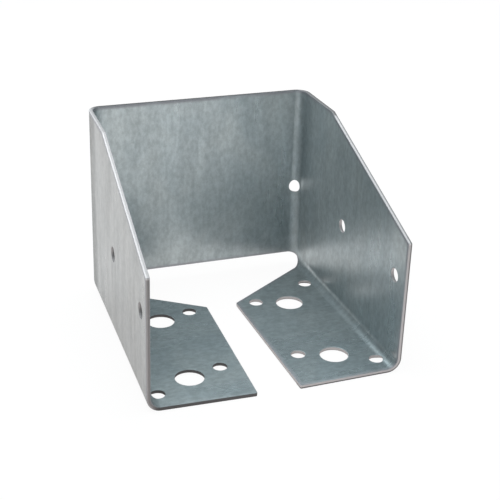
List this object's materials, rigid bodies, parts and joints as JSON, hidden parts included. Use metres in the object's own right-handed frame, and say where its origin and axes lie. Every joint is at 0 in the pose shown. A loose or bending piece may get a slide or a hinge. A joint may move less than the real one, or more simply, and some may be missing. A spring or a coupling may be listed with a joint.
{
  "type": "joist hanger",
  "caption": "Folded sheet-steel joist hanger with inward header flanges: a seat and two raked side walls cradle the joist end; nail and bolt holes fix it to header and joist.",
  "frame": {"origin": "middle of the hanger's footprint, on the header face on which it lies", "axes": "+X across the joist, +Y from the open front to the seat (down in use), +Z along the joist, away from the header"},
  "size_m": [0.0986, 0.101, 0.0795],
  "materials": {
    "galvanised_sheet": "hot-dip galvanised sheet, dull grey with soft cloudy spangle and faint rolling lines"
  },
  "bodies": {
    "root": {"hanger": "galvanised_sheet"}
  },
  "joints": []
}
